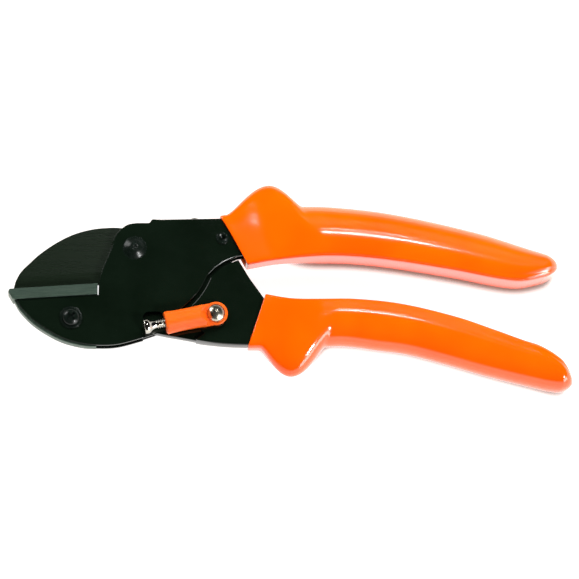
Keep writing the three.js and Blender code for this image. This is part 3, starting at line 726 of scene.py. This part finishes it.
def bevel(side):
    """What grinding takes off one side (-1 or 1) of the cutting edge."""
    wedge = slab("wedge", closed_outline(
        [(-6, 0.12), (5.0, BLADE_HALF + 0.005), (5.0, 4), (-6, 4)]), -45, 60)
    wedge.data.transform(Matrix(((0, 0, 1, 0), (1, 0, 0, 0), (0, 1, 0, 0), (0, 0, 0, 1))))
    if side < 0:
        wedge.data.transform(Matrix.Scale(-1, 4, (0, 0, 1)))
        wedge.data.flip_normals()
    edge = Vector((35.2, 2.3)).normalized()
    placed(wedge, (0, -12.23), math.atan2(edge.y, edge.x))
    return combined(wedge, "INTERSECT", slab("keep", rectangle(-60, -60, -10.5, 20), -6, 6))


def blade(coating):
    outline = closed_outline(
        [(-43.9, -15.1), (-8, -12.75)],
        curve([(-8, -12.75), (-3, -12.2), (1.5, -12.6), (6, -14.4), (11, -17.8), (15.5, -20.2)]),
        curve([(15.5, -20.2), (19, -19.6), (20.8, -16.8), (19.6, -12.6), (15, -7.6), (10.5, -2.8),
               (7.4, 0.8)]),
        curve([(7.4, 0.8), (6.4, 3.9), (3.6, 6.6), (-0.5, 7.7), (-4.4, 8.05)]),
        curve([(-4.4, 8.05), (-8.5, 8.2), (-15, 7.6), (-21.7, 5.8), (-28.0, 2.7), (-34.2, -1.6),
               (-38.3, -5.4), (-41.2, -8.4), (-43.1, -11.9), (-43.9, -15.1)]))
    obj = slab("blade_body", outline, -BLADE_HALF, BLADE_HALF, 0.14)
    combined(obj, "DIFFERENCE", bevel(-1), bevel(1), rod(BUSH_HOLE))
    return finish_piece(obj, coating, "blade_side", "blade_coating", "blade", sharp=25, flat=True)


# ---------------------------------------------------------------- screws, rivets, spring

def dome(radius, low, height, steps=14):
    """The profile of a dome, from its rim to the middle of its top."""
    return [(radius * math.cos(a), low + height * math.sin(a))
            for a in (math.pi / 2 * k / steps for k in range(steps))] + [(0, low + height)]


def pivot_bolt(metal):
    """A shank and a head that swells towards a dimple in its middle."""
    low, head = -PIVOT.z / MM, PLATE_OUT + 0.02
    shank, radius, swell_width, rise, steps = 3.0, 4.4, 3.5, 1.5, 24
    profile = rounded([(0, low), (shank - 0.5, low), (shank, low + 0.5), (shank, head)], 0.1)
    profile += [(radius - swell_width * k / steps, head + rise * math.sin(math.pi / 2 * k / steps) ** 1.5)
                for k in range(steps + 1)]
    profile += [(0.72, head + 1.47), (0.5, head + 1.32), (0.25, head + 1.21), (0, head + 1.18)]
    obj = lathe("pivot_head", profile, 72)
    return finish_piece(obj, metal, "anvil_side", "black_screw", "pivot_bolt", sharp=70)


def anvil_screw(metal):
    """A screw with a domed head, a cross recess, and rings for a thread at its nut."""
    head = PLATE_OUT + 0.6
    root, crest, low = 1.75, 2.0, -6.3
    profile = [(0, low), (1.6, low)] + [(crest if k % 2 else root, -6.1 + 0.22 * k) for k in range(10)]
    profile += [(crest, -3.8), (crest, head), (3.05, head)] + dome(3.15, head + 0.1, 1.8)
    obj = lathe("anvil_screw_head", profile, 72, ANVIL_SCREW)
    recess = [placed(slab("arm", rectangle(-1.75, -0.36, 1.75, 0.36), head + 0.75, head + 4),
                     ANVIL_SCREW, math.radians(turn)) for turn in (45, 135)]
    recess.append(lathe("core", [(0, head + 0.55), (0.55, head + 0.8), (1.15, head + 4), (0, head + 4)], 24,
                        ANVIL_SCREW))
    combined(obj, "DIFFERENCE", *recess)
    return finish_piece(obj, metal, "anvil_side", "black_screw", "anvil_screw", sharp=40)


def washer(name, hole, radius, low, high, centre, material, body, slot, node):
    profile = rounded([(hole, low), (radius, low), (radius, high), (hole, high), (hole, low)], 0.15)
    obj = lathe(name, profile + profile[:1], 72, centre)
    remove_caps(obj)
    return finish_piece(obj, material, body, slot, node, sharp=40)


def remove_caps(obj):
    """Leaves a ring: takes away the end caps of a lathe whose profile closes on itself."""
    bm = bmesh.new()
    bm.from_mesh(obj.data)
    bmesh.ops.delete(bm, geom=[f for f in bm.faces if len(f.verts) > 6], context="FACES_ONLY")
    bmesh.ops.remove_doubles(bm, verts=bm.verts, dist=WELD)
    bmesh.ops.recalc_face_normals(bm, faces=bm.faces)
    bm.to_mesh(obj.data)
    bm.free()


def hex_nut(name, flats, hole, low, high, centre, material, node):
    """A chamfered hexagon nut: a hexagon cut by a cone at each end."""
    corner, chamfer, past = flats / math.sqrt(3), 0.75, 0.01
    hexagon = closed_outline([polar(corner, 60 * k) for k in range(6)])
    obj = slab(name, [(x + centre[0], y + centre[1]) for x, y in hexagon], low, high, 0.12)
    cones = lathe("cones", [
        (0, low - past), (flats / 2, low - past), (corner + 0.3, low + chamfer),
        (corner + 0.3, high - chamfer), (flats / 2, high + past), (0, high + past)], 72, centre)
    combined(obj, "INTERSECT", cones)
    combined(obj, "DIFFERENCE", rod(hole, low - 1, high + 1, centre))
    return finish_piece(obj, material, "anvil_side", "black_screw", node, sharp=25)


def spacer_rivet(metal):
    """A spacer between the body's plates, with a neck and a dimpled head at each of them."""
    end = PLATE_OUT + 0.5
    upper = rounded([
        (2.2, 0), (2.2, PLATE_IN - GAP), (1.7, PLATE_IN - GAP), (1.7, PLATE_OUT + GAP),
        (2.3, PLATE_OUT + GAP), (2.25, end - 0.15), (1.75, end), (1.15, end - 0.3), (0.95, end - 1.3),
        (0, end - 1.7)], 0.12)
    lower = [(r, -z) for r, z in reversed(upper)]
    obj = lathe("spacer_rivet_body", lower + upper[1:], 56, SPACER)
    return finish_piece(obj, metal, "anvil_side", "black_screw", "spacer_rivet", sharp=40)


def latch_rivet(metal):
    """A foot under the plate, a neck through the latch's tab, and a domed head."""
    tab_top, neck = 5.65, 1.6
    profile = rounded([(0, 1.7), (2.3, 1.7), (2.5, PLATE_IN - GAP), (neck, PLATE_IN - GAP),
                       (neck, tab_top), (3.25, tab_top)], 0.08)
    profile += dome(3.3, tab_top + 0.12, 2.3, 24)
    obj = lathe("latch_rivet_dome", profile, 72, LATCH)
    return finish_piece(obj, metal, "blade_side", "chrome", "latch_rivet", sharp=50)


def return_spring(metal):
    """The coil between the handles, drawn as the wire itself. Its turns lie closer at both ends."""
    x, low, high = 22.0, 0.61, 9.49
    turns, steps, wire, coil, around = 7.5, 300, 0.45, 1.65, 12
    sections = []
    for k in range(steps + 1):
        t = k / steps
        rise = min(max((blend_in(t, -0.1, 1.1) - 0.02) / 0.96, 0.0), 1.0)
        angle = 2 * math.pi * turns * t
        centre = Vector((x + coil * math.cos(angle), low + (high - low) * rise, coil * math.sin(angle)))
        out = Vector((math.cos(angle), 0, math.sin(angle)))
        sections.append([tuple(centre + out * wire * math.cos(b) + Vector((0, wire * math.sin(b), 0)))
                         for b in (2 * math.pi * i / around for i in range(around))])
    obj = skin("return_spring_wire", sections)
    start, end = TO_ROW @ Vector((x, high, 0)), TO_ROW @ Vector((x, low, 0))
    return finish_piece(obj, metal, "anvil_side", "zinc_steel", "return_spring",
                        blend_to=("blade_side", start, end))


# ---------------------------------------------------------------- latch, drawn along +X from its rivet

TAB_LOW, TAB_HIGH = 4.15, 5.6


def latch_body(plastic):
    """A half-round lever with a thin tab at the rivet, and a bore for its screw."""
    start, end, low, high, half = 3.7, 18.9, 3.75, 9.6, 4.15
    soft, waist, flank, corner = 0.7, 0.28, 1.7, 0.25
    sections = []
    for k in range(41):
        t = k / 40
        x = start + (end - start) * t
        lip = min(x - start, end - x)
        inset = soft - math.sqrt(max(soft * soft - max(soft - lip, 0) ** 2, 0)) if lip < soft else 0.0
        width = half - waist * math.sin(math.pi * t) - inset
        top = high - inset - low
        ring = [(x, width - corner, low + inset)]
        ring += [(x, width * math.cos(a), low + flank + (top - flank) * math.sin(a) ** 0.92)
                 for a in (math.pi * i / 32 for i in range(33))]
        ring += [(x, corner - width, low + inset)]
        sections.append(ring)
    obj = skin("lever", sections)
    tab = lathe("tab", rounded([(0, TAB_LOW), (4.3, TAB_LOW), (4.3, TAB_HIGH), (0, TAB_HIGH)], 0.3), 72)
    bridge = slab("bridge", rectangle(0.2, -4.05, 5.2, 4.05), TAB_LOW, TAB_HIGH, 0.2)
    combined(obj, "UNION", tab, bridge)
    washer_space = rod(4.5, 0, TAB_LOW, segments=72)
    scoop = lathe("scoop", [(0, TAB_HIGH), (3.3, TAB_HIGH), (3.9, 6.2), (6.0, 10.2), (6.0, 12), (0, 12)], 72)
    rivet_hole = rod(1.9, 0, segments=40)
    bore = lathe("bore", [(0, 7.5), (2.0, 7.5), (2.0, 11), (2.35, 11), (2.35, 22), (0, 22)], 48)
    bore.data.transform(Matrix.Translation((0, 0, LATCH_SCREW_Z)) @ Matrix.Rotation(math.pi / 2, 4, "Y"))
    combined(obj, "DIFFERENCE", washer_space, scoop, rivet_hole, bore)
    placed(obj, LATCH, LATCH_ANGLE)
    return finish_piece(obj, plastic, "latch", "orange_lever", "latch_body", sharp=35)


def latch_screw(metal):
    """A screw with a real helical thread and a flared head."""
    root, crest, pitch, start, stop = 1.3, 1.68, 0.8, 9.0, 22.2
    around, per_turn = 48, 10
    turns = [2 * math.pi * i / around for i in range(around)]
    count = int((stop - start) / pitch * per_turn)
    sections = []
    for k in range(count + 1):
        x = start + (stop - start) * k / count
        fade = min((x - start) / 0.8, (stop - x) / 0.5, 1.0)
        ring = []
        for i, a in enumerate(turns):
            wave = 0.5 + 0.5 * math.cos(2 * math.pi * (x / pitch - i / around))
            r = root + (crest - root) * wave * max(fade, 0.0)
            ring.append((x, r * math.cos(a), r * math.sin(a)))
        sections.append(ring)
    flare = [(22.3, 1.32), (22.7, 1.38), (23.2, 1.52), (23.7, 1.74), (24.1, 2.02), (24.5, 2.36),
             (24.85, 2.61), (25.15, 2.7), (26.1, 2.71), (26.35, 2.66), (26.55, 2.45), (26.7, 1.6),
             (26.8, 0.02)]
    sections += [[(x, r * math.cos(a), r * math.sin(a)) for a in turns] for x, r in flare]
    obj = skin("latch_screw_thread", sections)
    obj.data.transform(Matrix.Translation((0, 0, LATCH_SCREW_Z)))
    placed(obj, LATCH, LATCH_ANGLE)
    return finish_piece(obj, metal, "latch_screw", "chrome", "latch_screw", sharp=45)


# ---------------------------------------------------------------- stage

CAMERA_TILT_X = math.radians(4.0)
CAMERA_TILT_Y = math.radians(13.0)
CAMERA_DISTANCE = 1.2
SENSOR_WIDTH = 36
VIEW_WIDTH = 0.2107
AIM_MM = (56.24, -15.53, 3.5)

FLOOR_HALF = 3.0
# How far the floor's painted contact shadow reaches
PAINTED_SHADOW_REACH = 0.0035
WHITE = (1, 1, 1, 1)
SHEARS = (0, 0, 0)
GRIPS = (0.06, 0, 0)


def camera():
    """A long lens, tilted as in the photo and aimed at AIM_MM."""
    data = bpy.data.cameras.new("camera")
    obj = bpy.data.objects.new("camera", data)
    bpy.context.scene.collection.objects.link(obj)
    back = Vector((-math.tan(CAMERA_TILT_X), -math.tan(CAMERA_TILT_Y), 1)).normalized()
    obj.location = TO_ROW @ Vector(AIM_MM) + back * CAMERA_DISTANCE
    right = Vector((1, 0, 0)) - back * back.x
    right.normalize()
    up = back.cross(right)
    obj.rotation_mode = "QUATERNION"
    obj.rotation_quaternion = Matrix((right, up, back)).transposed().to_quaternion()
    data.sensor_width = SENSOR_WIDTH
    data.lens = SENSOR_WIDTH * CAMERA_DISTANCE / VIEW_WIDTH
    data.clip_start, data.clip_end = 0.05, 10
    bpy.context.scene.camera = obj


def area_light(name, place, target, size, size_y, power, mirrored=True, diffuse=True):
    """mirrored says whether glossy surfaces show it, and diffuse whether it lights matt ones."""
    data = bpy.data.lights.new(name, "AREA")
    data.shape = "RECTANGLE"
    data.size, data.size_y, data.energy = size, size_y, power
    obj = bpy.data.objects.new(name, data)
    bpy.context.scene.collection.objects.link(obj)
    obj.location = place
    obj.rotation_mode = "QUATERNION"
    obj.rotation_quaternion = (Vector(target) - Vector(place)).to_track_quat("-Z", "Y")
    obj.visible_glossy, obj.visible_diffuse = mirrored, diffuse


def floor():
    """A table that stays white, and darkens only where something almost touches it: a painted contact shadow,
    made by dimming its glow there.
    """
    h = FLOOR_HALF
    obj = mesh_object("floor", [(-h, -h, 0), (h, -h, 0), (h, h, 0), (-h, h, 0)], [[0, 1, 2, 3]])
    m = Nodes("table")
    tone = m.ramp(m.noise(9, 3), 0.3, 0.7)
    # The brownish base colour shows only where the painted contact shadow dims the glow
    colour = m.mix(tone, (0.34, 0.29, 0.24), (0.37, 0.32, 0.27))
    m.shader.inputs["Emission Color"].default_value = WHITE
    # Painted contact shadow: ambient occlusion dims the table's glow wherever something is close above it
    near = m.add("ShaderNodeAmbientOcclusion", samples=8)
    near.inputs["Distance"].default_value = PAINTED_SHADOW_REACH
    m.link(m.ramp(near.outputs["AO"], 0.55, 0.9, 0.0, 0.95), m.shader.inputs["Emission Strength"])
    obj.data.materials.append(m.finish(colour, m.ramp(m.noise(60, 3), 0.3, 0.7, 0.75, 0.9)))


def soft_ramp(tree, value, low, high, to_low, to_high):
    """Maps low..high to to_low..to_high with soft ends."""
    node = tree.nodes.new("ShaderNodeMapRange")
    node.interpolation_type = "SMOOTHSTEP"
    for key, number in (("From Min", low), ("From Max", high), ("To Min", to_low), ("To Max", to_high)):
        node.inputs[key].default_value = number
    tree.links.new(value, node.inputs["Value"])
    return node.outputs["Result"]


def world():
    """Bright near the horizon, most of all at the picture's lower right, and dark above the flat plates."""
    sky = bpy.data.worlds.new("studio")
    bpy.context.scene.world = sky
    sky.use_nodes = True
    tree = sky.node_tree
    background = tree.nodes["Background"]
    background.inputs["Color"].default_value = WHITE
    way = tree.nodes.new("ShaderNodeTexCoord").outputs["Generated"]
    split = tree.nodes.new("ShaderNodeSeparateXYZ")
    tree.links.new(way, split.inputs[0])
    side = tree.nodes.new("ShaderNodeVectorMath")
    side.operation = "DOT_PRODUCT"
    side.inputs[1].default_value = (0.75, -0.65, 0)
    tree.links.new(way, side.inputs[0])
    product = tree.nodes.new("ShaderNodeMath")
    product.operation = "MULTIPLY"
    tree.links.new(soft_ramp(tree, split.outputs["Z"], 0.08, 0.36, 1.3, 0.02), product.inputs[0])
    tree.links.new(soft_ramp(tree, side.outputs["Value"], -0.8, 0.7, 0.15, 1.3), product.inputs[1])
    tree.links.new(product.outputs[0], background.inputs["Strength"])


def lights():
    """Broad lights that no surface mirrors, lamps that only glossy surfaces show, and some that do both."""
    area_light("key", (0.25, 1.00, 0.95), SHEARS, 0.60, 0.60, 21, mirrored=False)
    area_light("fill", (-0.80, 0.55, 0.85), SHEARS, 0.45, 0.45, 8, mirrored=False)
    area_light("lamp", (0.60, -0.70, 0.85), SHEARS, 0.20, 0.20, 10)
    area_light("low_lamp", (0.75, -0.80, 0.39), SHEARS, 0.80, 0.48, 8, diffuse=False)
    area_light("back_lamp", (-0.75, 0.65, 0.45), SHEARS, 0.50, 0.40, 4, diffuse=False)
    area_light("tube", (0.135, 0.37, 1.0), GRIPS, 0.11, 0.028, 0.60)
    area_light("tube_far", (0.150, 0.52, 1.0), GRIPS, 0.13, 0.010, 0.22)


camera()
world()
floor()
lights()

PAINT = enamel("black_paint", (0.0022, 0.0052, 0.0026), (0.0036, 0.0078, 0.0042))
COATING = blade_coating()
ANVIL = anvil_metal()
PVC = pvc()
LEVER = lever_plastic()
SCREW = black_metal("black_screw", 0.18, 0.28)
PIVOT_BLACK = black_metal("pivot_black", 0.24, 0.32)
CHROME = bare_metal("chrome", (0.62, 0.60, 0.54), 0.07, 0.16, streak=2.0)
RIVET = bare_metal("rivet_steel", (0.70, 0.66, 0.54), 0.24, 0.34, streak=2.0)
ZINC = bare_metal("zinc_steel", (0.55, 0.55, 0.52), 0.24, 0.40)

body_frame(PAINT)
lower_handle(PAINT)
blade(COATING)
anvil(ANVIL)
grip("upper_sleeve", UPPER, PVC, "anvil_side")
grip("lower_sleeve", LOWER, PVC, "blade_side")
pivot_bolt(PIVOT_BLACK)
anvil_screw(SCREW)
washer("anvil_washer_ring", SCREW_HOLE, 4.1, PLATE_OUT + GAP, PLATE_OUT + 0.55, ANVIL_SCREW,
       SCREW, "anvil_side", "black_screw", "anvil_washer")
washer("pivot_washer_ring", BODY_HOLE, 5.6, -4.3, -PLATE_OUT - GAP, (0, 0),
       SCREW, "anvil_side", "black_screw", "pivot_washer")
washer("latch_washer_ring", LATCH_HOLE, 4.2, PLATE_OUT + GAP, 4.1, LATCH,
       ZINC, "blade_side", "zinc_steel", "latch_washer")
hex_nut("anvil_nut_hex", 7, SCREW_HOLE, -5.9, -PLATE_OUT - GAP, ANVIL_SCREW, SCREW, "anvil_nut")
hex_nut("pivot_nut_hex", 10, BODY_HOLE, -8.3, -4.35, (0, 0), SCREW, "pivot_nut")
spacer_rivet(SCREW)
latch_rivet(RIVET)
return_spring(ZINC)
latch_body(LEVER)
latch_screw(CHROME)

# Small parts that are shown as the CAD has them, in bare steel
for node in ("pivot_bush", "pivot_shim_front", "pivot_shim_rear", "spring_post", "spring_cup",
             "blade_rivet_upper", "blade_rivet_lower", "latch_insert"):
    frame["nodes"][node].data.materials.clear()
    frame["nodes"][node].data.materials.append(ZINC)

bpy.context.scene.view_settings.view_transform = "Standard"
bpy.context.scene.view_settings.look = "None"
